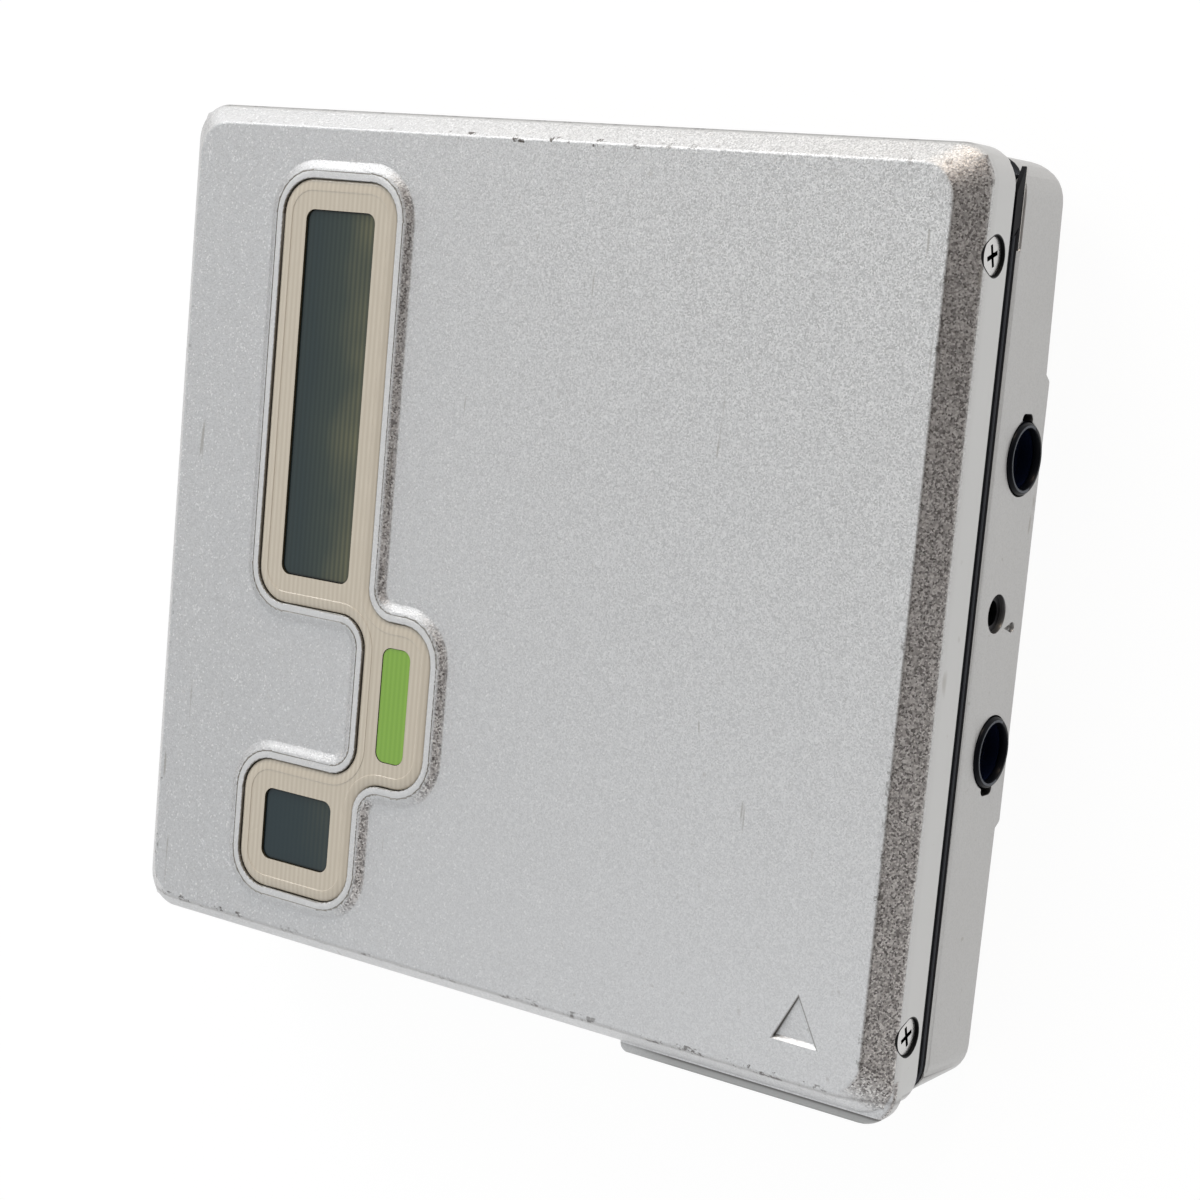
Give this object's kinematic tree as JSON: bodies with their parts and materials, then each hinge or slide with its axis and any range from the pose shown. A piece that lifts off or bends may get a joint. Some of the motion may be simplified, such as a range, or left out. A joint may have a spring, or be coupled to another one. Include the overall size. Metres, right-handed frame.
{
  "type": "portable disc player",
  "caption": "Pocket player for small cartridge discs, with a hinged bevelled lid, a windowed display, wall sockets and a sled-driven pickup.",
  "frame": {"origin": "middle of the back's raised rest face, below the middle of the lid's outline", "axes": "+X to the socket side, +Y to the hinge edge, +Z out of the lid's face"},
  "size_m": [0.0785, 0.074, 0.0162],
  "materials": {
    "silver_paint": "satin",
    "steel": "satin",
    "bezel_plastic": "gloss",
    "display_glass": "gloss",
    "accent_plastic": "gloss",
    "black_plastic": "matte",
    "board": "satin",
    "brass": "polished",
    "rubber": "matte",
    "white_plastic": "satin",
    "lens": "gloss",
    "cell": "satin"
  },
  "bodies": {
    "base": {"hinge_pins": "steel", "base_shell": "silver_paint", "hinge_cheeks": "black_plastic", "seam_strips": "black_plastic", "deck": "steel", "deck_studs": "brass", "dampers": "rubber", "deck_screws": "steel", "back_screws": "steel", "spindle_motor": "steel", "guide_rods": "steel", "sled_motor": "steel", "main_board": "board", "board_chips": "black_plastic", "headphone_socket": "black_plastic", "power_socket": "black_plastic", "power_pin": "brass", "clip_bush": "steel", "battery": "cell", "battery_box": "black_plastic", "battery_contacts": "brass", "door_pin": "steel", "button_board": "board", "latch_spring": "steel"},
    "lid": {"lid_shell": "silver_paint", "lid_screws": "steel", "window_bezel": "bezel_plastic", "long_display": "display_glass", "small_display": "display_glass", "accent_bar": "accent_plastic", "display_board": "board", "lid_frame": "steel"},
    "turntable": {"turntable": "steel"},
    "pickup": {"pickup": "black_plastic"},
    "objective_lens": {"objective_lens": "lens"},
    "drive_gear": {"drive_gear": "white_plastic"},
    "motor_pinion": {"motor_pinion": "white_plastic"},
    "previous_button": {"previous_button": "silver_paint"},
    "play_button": {"play_button": "silver_paint"},
    "next_button": {"next_button": "silver_paint"},
    "stop_button": {"stop_button": "silver_paint"},
    "volume_down_button": {"volume_down_button": "silver_paint"},
    "volume_up_button": {"volume_up_button": "silver_paint"},
    "hold_switch": {"hold_switch": "silver_paint"},
    "battery_door": {"battery_door": "silver_paint"},
    "open_slider": {"open_slider": "silver_paint", "latch_plate": "steel"}
  },
  "joints": [
    {"name": "lid_hinge", "type": "hinge", "parent": "base", "child": "lid", "pos_m": [0, 0.033, 0.008], "axis": [-1, 0, 0], "range_deg": [0, 35]},
    {"name": "spindle", "type": "hinge", "parent": "base", "child": "turntable", "pos_m": [0, -0.0004, 0.007], "axis": [0, 0, 1], "continuous": true},
    {"name": "sled", "type": "slide", "parent": "base", "child": "pickup", "axis": [1, 0, 0], "range_m": [-0.007, 0.007]},
    {"name": "focus", "type": "slide", "parent": "pickup", "child": "objective_lens", "axis": [0, 0, 1], "range_m": [-0.0003, 0.0003], "stiffness_N_per_m": 30},
    {"name": "gear_turn", "type": "hinge", "parent": "base", "child": "drive_gear", "pos_m": [-0.0135, 0.0118, 0.005], "axis": [0, 0, 1], "range_deg": [-202, 202]},
    {"name": "motor_turn", "type": "hinge", "parent": "base", "child": "motor_pinion", "pos_m": [-0.0107, 0.01665, 0.005], "axis": [0, 0, 1], "range_deg": [-503, 503]},
    {"name": "previous_press", "type": "slide", "parent": "base", "child": "previous_button", "axis": [1, 0, 0], "range_m": [0, 0.0006], "stiffness_N_per_m": 500},
    {"name": "play_press", "type": "slide", "parent": "base", "child": "play_button", "axis": [1, 0, 0], "range_m": [0, 0.0006], "stiffness_N_per_m": 500},
    {"name": "next_press", "type": "slide", "parent": "base", "child": "next_button", "axis": [1, 0, 0], "range_m": [0, 0.0006], "stiffness_N_per_m": 500},
    {"name": "stop_press", "type": "slide", "parent": "base", "child": "stop_button", "axis": [1, 0, 0], "range_m": [0, 0.0006], "stiffness_N_per_m": 500},
    {"name": "volume_down_press", "type": "slide", "parent": "base", "child": "volume_down_button", "axis": [1, 0, 0], "range_m": [0, 0.0006], "stiffness_N_per_m": 500},
    {"name": "volume_up_press", "type": "slide", "parent": "base", "child": "volume_up_button", "axis": [1, 0, 0], "range_m": [0, 0.0006], "stiffness_N_per_m": 500},
    {"name": "hold_slide", "type": "slide", "parent": "base", "child": "hold_switch", "axis": [1, 0, 0], "range_m": [-0.001, 0.001]},
    {"name": "latch_slide", "type": "slide", "parent": "base", "child": "open_slider", "axis": [1, 0, 0], "range_m": [0, 0.0014], "stiffness_N_per_m": 100, "deforming": ["latch_spring"]},
    {"name": "door_hinge", "type": "hinge", "parent": "base", "child": "battery_door", "pos_m": [-0.0384, -0.0244, 0.003], "axis": [0, -1, 0], "range_deg": [0, 80]}
  ],
  "couplings": [
    {"joint": "gear_turn", "follows": "sled", "rad_per_m": 500},
    {"joint": "motor_turn", "follows": "sled", "rad_per_m": -1250}
  ]
}
